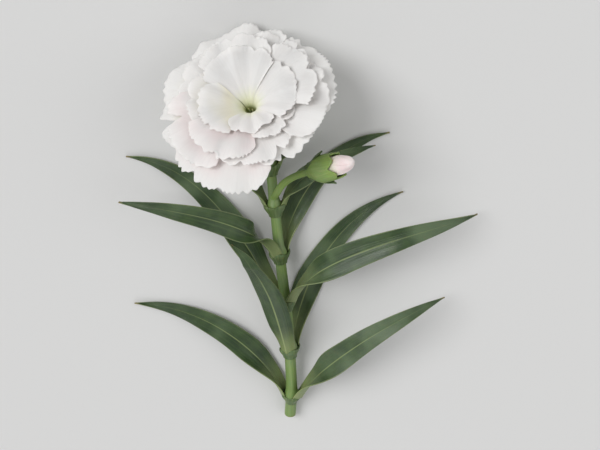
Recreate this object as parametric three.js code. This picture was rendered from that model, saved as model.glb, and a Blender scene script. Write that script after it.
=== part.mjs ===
// A cut carnation: one semi-double bloom on its own leafy stalk, with a side bud, lying on its side.
//
// The flower is laid out in its own frame: the cut end of the stalk is near the origin, the stalk runs
// along +Y just above the surface z = 0, and the neck bends up so that the bloom faces up and away.
// The last lines move the finished flower so that the middle of its footprint is at the origin.
import * as THREE from "three";

// ---- Driving dimensions, in millimetres, and angles in degrees ----

const GAP = 0.3; // left between pieces that grow against each other
const LIFT = 0.02; // how far the lowest leaves stay off the surface

// Stalk: the places that its middle line passes through, from the cut end to the end of the neck.
const STALK_LINE = [
  [3.0, 0, 1.65],
  [3.4, 9, 3.4],
  [2.4, 30, 4.5],
  [0.5, 49, 4.6],
  [-0.9, 64, 3.6],
  [-1.8, 73, 2.8],
];
const STALK_RADIUS = 1.55;
const NECK_RADIUS = 1.25;
const NECK_BEND = 12; // radius of the bend under the bloom
const JOINT_SWELLING = 0.65; // how far a leaf joint stands out of the stalk
const JOINT_REACH = 1.5; // half the length of that swelling

// Bloom: where its axis points, and the calyx that holds it.
const BLOOM_RISE = 43;
const BLOOM_TURN = -14; // to the left of +Y
const CALYX_LENGTH = 13.5;
const CALYX_BASE_RADIUS = 2.3;
const CALYX_RADIUS = 4.4;
const CALYX_WALL = 0.4;
const TOOTH_COUNT = 5;
const TOOTH_LENGTH = 2.9;

const PETAL_THICKNESS = 0.3;
// Whorls of petals from the outside in. claw is the radius of the narrow part inside the calyx, deep is
// how far it reaches down, blade is the length past the mouth, lean is how far the blade leans out from
// the axis where it has turned out of the calyx and at its tip, half is half its angular width, turn
// places the first petal, tilt is how far its two edges lie above and below the middle, so that it passes
// over one neighbour and under the other, and ruffle is how far its edge waves.
const WHORLS = [
  { name: "outer", count: 5, claw: 3.5, deep: 11.0, blade: 20.3, lean: [80, 105], half: 41, turn: 35, tilt: 0.5, ruffle: 0.8 },
  { name: "second", count: 5, claw: 2.95, deep: 10.3, blade: 19.0, lean: [69, 95], half: 40, turn: 71, tilt: 0.48, ruffle: 0.8 },
  { name: "third", count: 5, claw: 2.4, deep: 9.6, blade: 17.0, lean: [58, 86], half: 37, turn: 35, tilt: 0.42, ruffle: 0.7 },
  { name: "inner", count: 4, claw: 1.4, deep: 8.9, blade: 14.0, lean: [47, 77], half: 39, turn: 86, tilt: 0.3, ruffle: 0.5 },
];
const LONGEST = 1.15; // how far the middle line of a petal goes on, as a share of its whorl's blade
// The length of each petal's blade, as a share of its whorl's.
const PETAL_LENGTHS = {
  outer: [1.07, 1.04, 1.03, 1.0, 0.82],
  second: [1.04, 0.93, 0.97, 1.02, 0.86],
  third: [1.0, 0.88, 1.05, 1.08, 0.78],
  inner: [1.0, 1.14, 1.08, 0.85],
};
// The petals with a cream or pink blush, by their place in the whorl.
const BLUSHED = { outer: [0, 1], second: [0], third: [0, 1], inner: [0] };
const CLAW_HALF_WIDTH = 1.05;
const CLAW_HALF_ANGLE = 35; // the most that a claw takes round the axis on either side of its middle
const PETAL_BEND = 3.2; // radius at which the outermost petals turn out over the calyx mouth
const PETAL_BEND_START = 1.0; // height above the mouth at which they start to turn
const CORNER_ROUNDING = 3.8;

const LEAF_THICKNESS = 0.45;
// Leaves: the joint they grow from, counted from the cut end, where they leave it (turn, in degrees
// round the stalk from +X towards +Z), their length and width, the heading of the tip from +Y (+ is to
// the right), its height, how much the tip dips, and how far the blade curls sideways.
const LEAVES = [
  { name: "leaf_1_right", joint: 0, turn: 22, length: 52, width: 7.6, heading: 50, tip: 6.5, dip: 38, curl: 34 },
  { name: "leaf_1_left", joint: 0, turn: 194, length: 50, width: 7.4, heading: -56, tip: 0.5, dip: 3, curl: -34 },
  { name: "leaf_2_upper", joint: 1, turn: 106, length: 46, width: 7.6, heading: -20, tip: 25, dip: -48, curl: -26 },
  { name: "leaf_2_lower", joint: 1, turn: 292, length: 55, width: 7.8, heading: 33, tip: 0.5, dip: 0, curl: 36 },
  { name: "leaf_3_right", joint: 2, turn: 24, length: 56, width: 8.0, heading: 62, tip: 5.0, dip: 44, curl: 28 },
  { name: "leaf_3_left", joint: 2, turn: 198, length: 58, width: 8.0, heading: -44, tip: 0.5, dip: 4, curl: -42 },
  { name: "leaf_4_upper", joint: 3, turn: 122, length: 45, width: 6.8, heading: -66, tip: 11, dip: 34, curl: -30 },
  { name: "leaf_4_lower", joint: 3, turn: 300, length: 44, width: 6.6, heading: 40, tip: 0.5, dip: 0, curl: 40 },
  { name: "leaf_5_right", joint: 4, turn: 0, length: 30, width: 5.0, heading: 54, tip: 4.5, dip: 22, curl: 30 },
  { name: "leaf_5_left", joint: 4, turn: 190, length: 31, width: 5.2, heading: -42, tip: 0.8, dip: 10, curl: -34 },
  { name: "leaf_6_right", joint: 5, turn: 12, length: 15, width: 3.0, heading: 40, tip: 4.5, dip: 12, curl: 22 },
  { name: "leaf_6_left", joint: 5, turn: 196, length: 15, width: 3.0, heading: -44, tip: 3.0, dip: 0, curl: -22 },
];
const JOINT_PLACES = [0.085, 0.265, 0.435, 0.6, 0.755, 0.885]; // along the stalk, as shares of its length

// Side bud, in the fork between the uppermost right leaf and the stalk.
const BUD_STALK = { start: 0.775, turn: 76, length: 16, radius: 0.85, heading: 36, rise: 28 };
const BUD_LENGTH = 9.8;
const BUD_RADIUS = 3.1;
const BUD_TIP = 4.6; // how far the folded petals stand out of it

const radians = THREE.MathUtils.degToRad;
const smooth = THREE.MathUtils.smoothstep;
const mix = THREE.MathUtils.lerp;
const point = (x, y, z) => new THREE.Vector3(x, y, z);
const UP = point(0, 0, 1);

// ---- Materials ----

const green = (name, color, roughness) => new THREE.MeshStandardMaterial({ name, color, roughness, metalness: 0 });
const MATERIALS = {
  stalk: green("stalk", 0x7f9a5c, 0.6),
  leaf: green("leaf", 0x3f6233, 0.5),
  calyx: green("calyx", 0x86a055, 0.5),
  petal: green("petal", 0xf4f1ec, 0.7),
  blush: green("blush", 0xf3dcdc, 0.7),
  pistil: green("pistil", 0xaab568, 0.6),
  stamen: green("stamen", 0xe8e2b8, 0.7),
};

const flower = new THREE.Group();

function add(name, geometry, material) {
  const mesh = new THREE.Mesh(geometry, material);
  mesh.name = name;
  flower.add(mesh);
  return mesh;
}

// ---- Shape helpers ----

// Moves every vertex of a closed geometry to move(x, y, z), which keeps it closed.
function bent(geometry, move) {
  const at = geometry.getAttribute("position");
  for (let i = 0; i < at.count; i++) {
    const to = move(at.getX(i), at.getY(i), at.getZ(i));
    at.setXYZ(i, to.x, to.y, to.z);
  }
  geometry.computeVertexNormals();
  return geometry;
}

// A thin solid on both sides of surface(u, v), with u from 0 to 1 along it and v from -1 to 1 across it.
function sheet(along, across, thickness, surface) {
  const step = 1e-3;
  return bent(new THREE.BoxGeometry(2, 1, 1, across, along, 1), (x, y, z) => {
    const u = THREE.MathUtils.clamp(y + 0.5, step, 1 - step);
    const acrossIt = surface(u, x + step).sub(surface(u, x - step));
    const alongIt = surface(u + step, x).sub(surface(u - step, x));
    const normal = acrossIt.cross(alongIt).normalize();
    return surface(y + 0.5, x).addScaledVector(normal, 2 * z * (thickness / 2));
  });
}

// A round solid along a curve, whose radius is given by radius(share of the length).
function tube(curve, sides, steps, radius) {
  return bent(new THREE.CylinderGeometry(1, 1, 1, sides, steps), (x, y, z) => {
    const share = y + 0.5;
    const { side, top } = frameOn(curve, share);
    const r = radius(share);
    return curve.getPointAt(share).addScaledVector(side, x * r).addScaledVector(top, z * r);
  });
}

// The direction of a curve there, and two directions square to it: to its right, and upwards.
function frameOn(curve, share) {
  const ahead = curve.getTangentAt(share);
  const side = ahead.clone().cross(UP).normalize();
  const top = side.clone().cross(ahead);
  return { ahead, side, top };
}

// The direction that is turned by so many degrees to the right of +Y and raised by so many.
function towards(heading, rise) {
  const [h, e] = [radians(heading), radians(rise)];
  return point(Math.sin(h) * Math.cos(e), Math.cos(h) * Math.cos(e), Math.sin(e));
}

// ---- Stalk ----

// The neck is an arc that starts along the last stretch of the stalk and ends along the bloom's axis.
const bloomAxis = towards(BLOOM_TURN, BLOOM_RISE);

function neckPoints() {
  const points = STALK_LINE.map(([x, y, z]) => point(x, y, z));
  const end = points[points.length - 1];
  const start = end.clone().sub(points[points.length - 2]).normalize();
  const steps = 4;
  let at = end.clone();
  for (let i = 1; i <= steps; i++) {
    const middle = start.clone().lerp(bloomAxis, (i - 0.5) / steps).normalize();
    at = at.clone().addScaledVector(middle, (NECK_BEND * start.angleTo(bloomAxis)) / steps);
    points.push(at);
  }
  return points;
}
const stalkCurve = new THREE.CatmullRomCurve3(neckPoints(), false, "centripetal");
const neckEnd = stalkCurve.getPointAt(1);

function stalkRadius(share) {
  const along = share * stalkCurve.getLength();
  const swelling = JOINT_PLACES.map((place) => (along - place * stalkCurve.getLength()) / JOINT_REACH)
    .reduce((sum, distance) => sum + Math.exp(-distance * distance), 0);
  return mix(STALK_RADIUS, NECK_RADIUS, share) + JOINT_SWELLING * swelling;
}
add("stalk", tube(stalkCurve, 10, 50, stalkRadius), MATERIALS.stalk);

// ---- Leaves ----

// The middle line of a leaf: it leaves the joint along the stalk and turns to its own heading.
function leafLine({ joint, turn, length, heading, tip, dip, curl }) {
  const share = JOINT_PLACES[joint];
  const { ahead, side, top } = frameOn(stalkCurve, share);
  const out = side.multiplyScalar(Math.cos(radians(turn))).addScaledVector(top, Math.sin(radians(turn)));
  const root = stalkCurve.getPointAt(share);
  const start = root.clone().addScaledVector(out, stalkRadius(share) + GAP + LEAF_THICKNESS / 2);
  const reach = 0.94 * length;
  const flat = Math.sqrt(Math.max(reach * reach - (tip - start.z) ** 2, 1));
  const end = point(start.x, start.y, tip).addScaledVector(towards(heading, 0), flat);
  const shoulder = end.clone().addScaledVector(towards(heading + curl, -dip), -0.36 * length);
  const rise = start.clone().addScaledVector(ahead, 0.26 * length).addScaledVector(out, 0.1 * length);
  return { curve: new THREE.CubicBezierCurve3(start, rise, shoulder, end), out };
}

// How wide a leaf is along its length, as a share of its widest: a sheath, a long blade and a sharp tip.
function leafOutline(u) {
  return (0.6 + 0.4 * smooth(u, 0, 0.36)) * Math.max(Math.pow(1 - Math.pow(u, 2.5), 1.05), 0.05);
}

// Which way the upper face of a leaf looks: at its root it clasps the stalk, and further out it turns
// over to the sky, except on a leaf that stands up.
function leafFacing(u, out, dip) {
  const inwards = out.clone().negate();
  if (dip < 0) return inwards;
  const sky = point(-0.4 * out.x, 0.15, 1).normalize();
  return inwards.lerp(sky, smooth(u, 0, 0.45)).normalize();
}

function leafSurface(leaf) {
  const { curve, out } = leafLine(leaf);
  const clasp = 1 / (stalkRadius(JOINT_PLACES[leaf.joint]) + GAP + LEAF_THICKNESS);
  const lowest = LEAF_THICKNESS / 2 + LIFT;
  return (u, v) => {
    const share = THREE.MathUtils.clamp(u, 0, 1);
    const tangent = curve.getTangentAt(share);
    const across = leafFacing(share, out, leaf.dip).cross(tangent).normalize();
    const face = tangent.clone().cross(across);
    const half = (leaf.width / 2) * leafOutline(share);
    const bend = clasp * (1 - smooth(share, 0, 0.22)) + 1e-4;
    const fold = mix(0.3, 0.12, smooth(share, 0.05, 0.7)) * half * v * v;
    const place = curve
      .getPointAt(share)
      .addScaledVector(across, Math.sin(bend * v * half) / bend)
      .addScaledVector(face, (1 - Math.cos(bend * v * half)) / bend + fold);
    // A leaf that would dip below the surface lies along it instead.
    const soft = 0.3;
    place.z = lowest + soft * Math.log1p(Math.exp((place.z - lowest) / soft));
    return place;
  };
}
for (const leaf of LEAVES) add(leaf.name, sheet(14, 4, LEAF_THICKNESS, leafSurface(leaf)), MATERIALS.leaf);

// ---- Bloom ----

// The bloom's own axes: to its right, up across its face, and out of its face.
const bloomRight = bloomAxis.clone().cross(UP).normalize();
const bloomTop = bloomRight.clone().cross(bloomAxis);
const mouth = neckEnd.clone().addScaledVector(bloomAxis, CALYX_LENGTH + GAP);

// A place given by its distance from the bloom's axis, its angle round it and its height above the mouth.
function inBloom(radius, angle, height) {
  return mouth
    .clone()
    .addScaledVector(bloomRight, radius * Math.cos(angle))
    .addScaledVector(bloomTop, radius * Math.sin(angle))
    .addScaledVector(bloomAxis, height);
}

// Calyx: a cup whose rim is drawn out into pointed teeth.
function calyxRadius(height) {
  const share = 1 + height / CALYX_LENGTH;
  const round = Math.sqrt(1 - (1 - THREE.MathUtils.clamp(share / 0.16, 0, 1)) ** 2);
  return mix(CALYX_BASE_RADIUS, CALYX_RADIUS, round) + 1.3 * smooth(share, 0.95, 1.3);
}

function calyxGeometry() {
  const profile = [new THREE.Vector2(0, -CALYX_LENGTH)];
  profile.push(new THREE.Vector2(0.6, -CALYX_LENGTH));
  const steps = 7;
  for (let i = 0; i <= steps; i++) profile.push(new THREE.Vector2(1, mix(-CALYX_LENGTH + 0.7, 0, i / steps)));
  for (let i = steps; i >= 0; i--) profile.push(new THREE.Vector2(0.85, mix(-CALYX_LENGTH + 1.2, 0, i / steps)));
  profile.push(new THREE.Vector2(0, -CALYX_LENGTH + 1.0));
  const teethFrom = -CALYX_LENGTH * 0.3;
  return bent(new THREE.LatheGeometry(profile, 30), (x, y, z) => {
    const angle = Math.atan2(z, x);
    const inner = Math.hypot(x, z) < 0.95 && Math.hypot(x, z) > 0.7;
    const tooth = Math.pow(Math.abs(Math.cos((TOOTH_COUNT * angle) / 2)), 1.3);
    const height = y + TOOTH_LENGTH * tooth * smooth(y, teethFrom, 0);
    const wall = inner ? calyxRadius(height) - CALYX_WALL : calyxRadius(height) * Math.min(Math.hypot(x, z), 1);
    return inBloom(Math.hypot(x, z) < 0.1 ? 0 : wall, angle, height);
  });
}
add("calyx", calyxGeometry(), MATERIALS.calyx);

// Bracts: two pairs of short scales that clasp the foot of the calyx.
function bractSurface({ turn, length, width, layer }) {
  return (u, v) => {
    const height = -CALYX_LENGTH + 0.4 + u * length;
    const flare = 1.1 * smooth(u, 0.65, 1.15);
    const radius = calyxRadius(height) + GAP + 0.28 + layer * (0.35 + GAP) + flare;
    const outline = (0.8 + 0.2 * Math.sin(Math.PI * Math.min(u, 0.5))) * Math.max(1 - Math.pow(u, 2.2), 0.04);
    return inBloom(radius, radians(turn) + (v * (width / 2) * outline) / radius, height);
  };
}
[0, 1, 2, 3].forEach((i) => {
  const layer = i % 2;
  const bract = { turn: 40 + 90 * i, length: 8.6 - 1.4 * layer, width: 6.6 - 0.8 * layer, layer };
  add(`bract_${i + 1}`, sheet(6, 4, 0.35, bractSurface(bract)), MATERIALS.calyx);
});

// The middle line of a petal seen from the side: straight up the calyx, a turn over its mouth, and a
// blade that leans out more and more. Whorls turn round the same place, so they nest.
function petalProfile(whorl) {
  const nesting = WHORLS[0].claw - whorl.claw;
  const bendRadius = PETAL_BEND + nesting;
  const [lean, tipLean] = whorl.lean.map(radians);
  const straight = whorl.deep + PETAL_BEND_START;
  const total = straight + whorl.blade * LONGEST;
  const steps = 240;
  const rows = [{ r: whorl.claw, w: -whorl.deep, lean: 0 }];
  for (let i = 1; i <= steps; i++) {
    const along = (total * (i - 0.5)) / steps - straight;
    const past = THREE.MathUtils.clamp((along - bendRadius * lean) / (whorl.blade - bendRadius * lean), 0, 1);
    const angle = along < 0 ? 0 : Math.min(along / bendRadius, lean) + past * (tipLean - lean);
    const last = rows[rows.length - 1];
    rows.push({
      r: last.r + (Math.sin(angle) * total) / steps,
      w: last.w + (Math.cos(angle) * total) / steps,
      lean: angle,
    });
  }
  const at = (s) => {
    const place = THREE.MathUtils.clamp((s / total) * steps, 0, steps);
    const row = Math.min(Math.floor(place), steps - 1);
    const [a, b] = [rows[row], rows[row + 1]];
    const k = place - row;
    return { r: mix(a.r, b.r, k), w: mix(a.w, b.w, k), lean: mix(a.lean, b.lean, k) };
  };
  return { at, straight, turned: straight + bendRadius * lean, total };
}

// How far along a petal u is: a tenth of u goes to its straight claw, four to its turn, five to its blade.
function alongPetal(u, [foot, straight, turned, tip]) {
  if (u < 0.1) return mix(foot, straight, u / 0.1);
  return u < 0.5 ? mix(straight, turned, (u - 0.1) / 0.4) : mix(turned, tip, (u - 0.5) / 0.5);
}

// One petal. u runs from the foot of its claw to its tip, and v across it.
function petalSurface(whorl, index) {
  const { at, straight, turned, total } = petalProfile(whorl);
  const wander = 3.5 * Math.sin(2.7 * index + 3 * whorl.claw);
  const middle = radians(90 + whorl.turn + (360 / whorl.count) * index + wander);
  const blade = whorl.blade * PETAL_LENGTHS[whorl.name][index];
  return (u, v) => {
    const rounding = CORNER_ROUNDING * Math.pow(Math.abs(v), 3.4) * (blade / WHORLS[0].blade);
    const s = alongPetal(u, [0, straight, turned, straight + blade - rounding]);
    const { r, w, lean } = at(Math.min(s, total));
    const out = Math.max(s - straight, 0);
    const clawHalf = Math.min(CLAW_HALF_WIDTH / whorl.claw, radians(CLAW_HALF_ANGLE));
    const half = mix(clawHalf, radians(whorl.half), smooth(out, 0, 12));
    const angle = middle + v * half;
    const tilt = whorl.tilt * v * smooth(out, 3.4, 9);
    const ruffle = whorl.ruffle * (out / whorl.blade) ** 2 * Math.sin(11 * angle + 5 * whorl.claw);
    const off = tilt + ruffle;
    // Off is measured square to the petal, towards its upper face.
    return inBloom(r - off * Math.cos(lean), angle, w + off * Math.sin(lean));
  };
}
WHORLS.forEach((whorl, rank) => {
  for (let i = 0; i < whorl.count; i++) {
    const geometry = sheet(10, rank < 2 ? 6 : 5, PETAL_THICKNESS, petalSurface(whorl, i));
    const material = BLUSHED[whorl.name].includes(i) ? MATERIALS.blush : MATERIALS.petal;
    add(`petal_${whorl.name}_${i + 1}`, geometry, material);
  }
});

// Pistil and stamens, down the middle of the calyx.
function upright(name, radius, foot, top, place, material, shape) {
  const [x, angle] = place;
  const geometry = bent(new THREE.CylinderGeometry(1, 1, 1, 8, 6), (a, b, c) => {
    const share = b + 0.5;
    const height = mix(foot, top, share);
    const centre = inBloom(x * (1 - 0.12 * share), angle, height);
    const r = radius * shape(share);
    return centre.addScaledVector(bloomRight, a * r).addScaledVector(bloomTop, c * r);
  });
  add(name, geometry, material);
}
const egg = (share) => 0.25 + 0.75 * Math.sin(Math.PI * (0.12 + 0.8 * share));
const horn = (share) => 1 - 0.7 * share;
const club = (share) => 1 + smooth(share, 0.8, 0.9);
upright("ovary", 0.5, -CALYX_LENGTH + 1.6, -6.6, [0, 0], MATERIALS.pistil, egg);
[0, 1].forEach((i) => {
  upright(`style_${i + 1}`, 0.26, -6.3, 2.6 - i, [0.4, Math.PI * i + 0.5], MATERIALS.pistil, horn);
});
[90, 150, 300].forEach((angle, i) => {
  const place = [0.8, radians(angle)];
  upright(`stamen_${i + 1}`, 0.14, -CALYX_LENGTH + 1.8, 0.4 - 0.9 * i, place, MATERIALS.stamen, club);
});

// ---- Side bud ----

function budLine() {
  const { start, turn, length, heading, rise } = BUD_STALK;
  const { ahead, side, top } = frameOn(stalkCurve, start);
  const out = side.multiplyScalar(Math.cos(radians(turn))).addScaledVector(top, Math.sin(radians(turn)));
  const root = stalkCurve
    .getPointAt(start)
    .addScaledVector(out, stalkRadius(start) + GAP + BUD_STALK.radius * 1.1);
  const end = root.clone().addScaledVector(towards(heading, rise), length);
  const bendAt = root.clone().addScaledVector(ahead, length * 0.4).addScaledVector(out, length * 0.06);
  return new THREE.QuadraticBezierCurve3(root, bendAt, end);
}
const budCurve = budLine();
add("bud_stalk", tube(budCurve, 8, 10, (share) => BUD_STALK.radius * (1 + 0.15 * (1 - share))), MATERIALS.stalk);

const budFrame = frameOn(budCurve, 1);
const budFoot = budCurve.getPointAt(1).addScaledVector(budFrame.ahead, GAP);
function inBud(radius, angle, height) {
  return budFoot
    .clone()
    .addScaledVector(budFrame.side, radius * Math.cos(angle))
    .addScaledVector(budFrame.top, radius * Math.sin(angle))
    .addScaledVector(budFrame.ahead, height);
}
function budRadius(share) {
  return BUD_RADIUS * (0.5 + 0.5 * smooth(share, 0, 0.45)) * (1 - 0.14 * smooth(share, 0.55, 1.15));
}

function budCalyxGeometry() {
  const wall = 0.4;
  const profile = [new THREE.Vector2(0, 0), new THREE.Vector2(0.5, 0)];
  const steps = 6;
  for (let i = 0; i <= steps; i++) profile.push(new THREE.Vector2(1, mix(0.06, 0.86, i / steps)));
  for (let i = steps; i >= 0; i--) profile.push(new THREE.Vector2(0.85, mix(0.12, 0.86, i / steps)));
  profile.push(new THREE.Vector2(0, 0.1));
  return bent(new THREE.LatheGeometry(profile, 20), (x, y, z) => {
    const angle = Math.atan2(z, x);
    const from = Math.hypot(x, z);
    const tooth = Math.pow(Math.abs(Math.cos((TOOTH_COUNT * angle) / 2)), 1.2);
    const share = y + 0.16 * tooth * smooth(y, 0.55, 0.86);
    const inner = from < 0.95 && from > 0.7;
    const r = inner ? budRadius(share) - wall : budRadius(share) * Math.min(from, 1);
    return inBud(from < 0.1 ? 0 : r, angle, share * BUD_LENGTH);
  });
}
add("bud_calyx", budCalyxGeometry(), MATERIALS.calyx);

// The folded petals fill the bud and come out of its mouth as a blunt tip.
function budPetalsGeometry() {
  const steps = 9;
  const [foot, top] = [0.16 * BUD_LENGTH, BUD_LENGTH + BUD_TIP];
  const profile = [new THREE.Vector2(0, foot)];
  for (let i = 0; i <= steps; i++) {
    const height = mix(foot, top, (i + 0.35) / (steps + 1));
    const swell = 0.7 * smooth(height / BUD_LENGTH, 1.03, 1.2);
    const inside = budRadius(height / BUD_LENGTH) - 0.4 - GAP + swell;
    const tip = Math.sqrt(Math.max(1 - Math.pow((height - foot) / (top - foot), 4), 0));
    profile.push(new THREE.Vector2(inside * tip, height));
  }
  profile.push(new THREE.Vector2(0, top));
  return bent(new THREE.LatheGeometry(profile, 14), (x, y, z) => inBud(Math.hypot(x, z), Math.atan2(z, x), y));
}
add("bud_petals", budPetalsGeometry(), MATERIALS.blush);

function budBractSurface(turn) {
  return (u, v) => {
    const share = -0.02 + 0.62 * u;
    const radius = budRadius(Math.max(share, 0)) + GAP + 0.35 + 0.8 * smooth(u, 0.6, 1.2);
    const outline = Math.max(1 - Math.pow(u, 2), 0.05);
    return inBud(radius, radians(turn) + (v * 2.1 * outline) / radius, share * BUD_LENGTH + 0.5);
  };
}
[0, 1].forEach((i) => {
  add(`bud_bract_${i + 1}`, sheet(6, 4, 0.35, budBractSurface(10 + 180 * i)), MATERIALS.calyx);
});

// ---- Place the flower: the middle of its footprint is the origin ----

const carnation = new THREE.Group();
carnation.name = "carnation";
carnation.add(flower);
flower.updateMatrixWorld(true);
const box = new THREE.Box3().setFromObject(flower, true);
const middle = box.getCenter(point(0, 0, 0));
flower.position.set(-middle.x, -middle.y, -box.min.z);

export default carnation;
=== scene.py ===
"""A cut carnation lying on a pale surface: one ruffled bloom, its leafy stalk and a side bud."""

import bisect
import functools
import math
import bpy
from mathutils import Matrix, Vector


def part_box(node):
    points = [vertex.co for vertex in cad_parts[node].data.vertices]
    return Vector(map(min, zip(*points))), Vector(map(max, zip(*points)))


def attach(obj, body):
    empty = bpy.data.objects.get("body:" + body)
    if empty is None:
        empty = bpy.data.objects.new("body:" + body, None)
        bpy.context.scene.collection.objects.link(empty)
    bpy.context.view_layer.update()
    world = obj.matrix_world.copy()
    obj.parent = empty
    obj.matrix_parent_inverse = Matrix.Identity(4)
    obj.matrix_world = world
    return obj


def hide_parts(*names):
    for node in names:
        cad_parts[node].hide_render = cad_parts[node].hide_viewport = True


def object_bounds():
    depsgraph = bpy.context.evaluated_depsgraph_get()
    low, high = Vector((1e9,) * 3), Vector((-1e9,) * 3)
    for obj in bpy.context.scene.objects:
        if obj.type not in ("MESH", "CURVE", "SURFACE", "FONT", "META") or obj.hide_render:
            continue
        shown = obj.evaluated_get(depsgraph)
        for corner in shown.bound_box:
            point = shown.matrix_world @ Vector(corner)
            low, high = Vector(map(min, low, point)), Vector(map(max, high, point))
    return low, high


bl_info = {
    "name": "Cut carnation",
    "version": (1, 0, 0),
    "blender": (4, 5, 0),
    "location": "3D Viewport > Sidebar > Carnation",
    "description": "Grows a cut carnation over its packed solids",
    "category": "Add Mesh",
}

from collections import namedtuple

import bmesh
import bpy
from bpy.props import FloatProperty, FloatVectorProperty, IntProperty, PointerProperty
from mathutils import Matrix, Vector, noise
from mathutils.geometry import interpolate_bezier

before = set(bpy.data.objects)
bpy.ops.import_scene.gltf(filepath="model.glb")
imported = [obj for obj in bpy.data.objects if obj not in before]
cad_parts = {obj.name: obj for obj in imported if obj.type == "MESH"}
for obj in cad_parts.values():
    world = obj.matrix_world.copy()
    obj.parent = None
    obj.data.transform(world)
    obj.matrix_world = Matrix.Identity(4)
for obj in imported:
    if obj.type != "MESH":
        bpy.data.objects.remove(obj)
cad_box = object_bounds()

MM = 0.001
UP = Vector((0, 0, 1))

# The flower's own frame is in millimetres, with the stalk's cut end near its origin. The middle of
# the stalk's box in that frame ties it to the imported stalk.
STALK_MIDDLE = Vector((0.4393, 41.3455, 3.5706))
stalk_low, stalk_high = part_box("stalk")
SHIFT = (stalk_low + stalk_high) / (2 * MM) - STALK_MIDDLE

GAP = 0.3  # between touching solids

# Stalk, as (x, y, z) along it
STALK_STOPS = (
    (3.0, 0, 1.65),
    (3.4, 9, 3.4),
    (2.4, 30, 4.5),
    (0.5, 49, 4.6),
    (-0.9, 64, 3.6),
    (-1.8, 73, 2.8),
)
STALK_RADIUS = 1.55
NECK_RADIUS = 1.25
NECK_BEND = 12
JOINT_SWELLING = 0.65
JOINT_REACH = 1.5
JOINTS = (0.085, 0.265, 0.435, 0.6, 0.755, 0.885)

# Leaves. A leaf starts at a turn round the stalk and ends at a heading, with its tip so high. Dip
# is how steeply it comes down to its tip, and curl how far it swings sideways on the way.
LEAF_THICKNESS = 0.45
LIFT = 0.02  # of a leaf above the surface it touches
YOUNG_LEAVES = 4  # the last so many, next to the bloom
Leaf = namedtuple("Leaf", "name joint turn length width heading tip dip curl")
LEAVES = (
    Leaf("leaf_1_right", 0, 22, 52, 7.6, 50, 6.5, 38, 34),
    Leaf("leaf_1_left", 0, 194, 50, 7.4, -56, 0.5, 3, -34),
    Leaf("leaf_2_upper", 1, 106, 46, 7.6, -20, 25, -48, -26),
    Leaf("leaf_2_lower", 1, 292, 55, 7.8, 33, 0.5, 0, 36),
    Leaf("leaf_3_right", 2, 24, 56, 8.0, 62, 5.0, 44, 28),
    Leaf("leaf_3_left", 2, 198, 58, 8.0, -44, 0.5, 4, -42),
    Leaf("leaf_4_upper", 3, 122, 45, 6.8, -66, 11, 34, -30),
    Leaf("leaf_4_lower", 3, 300, 44, 6.6, 40, 0.5, 0, 40),
    Leaf("leaf_5_right", 4, 0, 30, 5.0, 54, 4.5, 22, 30),
    Leaf("leaf_5_left", 4, 190, 31, 5.2, -42, 0.8, 10, -34),
    Leaf("leaf_6_right", 5, 12, 15, 3.0, 40, 4.5, 12, 22),
    Leaf("leaf_6_left", 5, 196, 15, 3.0, -44, 3.0, 0, -22),
)

# Bloom. Its heights count from the mouth of its calyx, and its angles go round its axis.
BLOOM_RISE = 43
BLOOM_TURN = -14
CALYX_LENGTH = 13.5
CALYX_BASE_RADIUS = 2.3
CALYX_RADIUS = 4.4
CALYX_WALL = 0.4
TOOTH_COUNT = 5
TOOTH_LENGTH = 2.9
BRACT_THICKNESS, BRACT_EDGE = 0.34, 0.4

# Whorls of petals. Claw is how far a petal's claw stands from the axis, and deep how far down it
# starts. Lean and tip_lean are how far the blade leans out, at its bend and at its tip. Half is
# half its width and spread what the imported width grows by, both in degrees. Turn is where the
# first petal stands. Tilt, ruffle and curl are how far its sides, its waves and its end stand off.
# Lengths are the petals' shares of the blade's length.
Whorl = namedtuple(
    "Whorl", "name claw deep blade lean tip_lean half spread turn tilt ruffle curl lengths"
)
WHORLS = (
    Whorl(
        "outer", 3.5, 11.0, 20.3, 80, 105, 41, 0, 35, 0.5, 0.8, -0.35,
        (1.07, 1.04, 1.03, 1.0, 0.82),
    ),
    Whorl(
        "second", 2.95, 10.3, 19.0, 69, 95, 40, 0, 71, 0.48, 0.8, -0.35,
        (1.04, 0.93, 0.97, 1.02, 0.86),
    ),
    Whorl(
        "third", 2.4, 9.6, 17.0, 58, 86, 37, 3, 35, 0.42, 0.7, -0.7,
        (1.0, 0.88, 1.05, 1.08, 0.78),
    ),
    Whorl(
        "inner", 1.4, 8.9, 14.0, 47, 77, 39, 12, 86, 0.3, 0.5, -0.7,
        (1.0, 1.14, 1.08, 0.85),
    ),
)
# Where the bloom's outline is notched: the angle, the depth and half the width in degrees.
NOTCHES = ((69, 8.0, 13), (180, 4.5, 9), (306, 3.5, 7), (20, 1.6, 7), (118, 1.6, 6), (238, 1.8, 7))
LONGEST = 1.15
CLAW_HALF_WIDTH = 1.05
CLAW_HALF_ANGLE = 35
PETAL_BEND = 3.2
PETAL_BEND_START = 1.0
CORNER_ROUNDING = 3.8
CORNER_SOFTNESS = 0.9
# A petal's sheet spends its first rows on the claw and the next on the bend, up to these shares.
CLAW_ROWS, BEND_ROWS = 0.08, 0.3
LOBE_DEPTH, LOBE_HALF_WIDTH = 1.5, 0.07
THROAT_OVAL = 0.14
STAMEN_ANGLES = (90, 150, 300)

# Side bud
BUD_START, BUD_TURN, BUD_STALK_LENGTH, BUD_STALK_RADIUS = 0.775, 76, 16, 0.85
BUD_HEADING, BUD_RISE = 36, 28
BUD_LENGTH, BUD_RADIUS, BUD_TIP = 9.8, 3.1, 4.6
BUD_PETALS = 5

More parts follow.
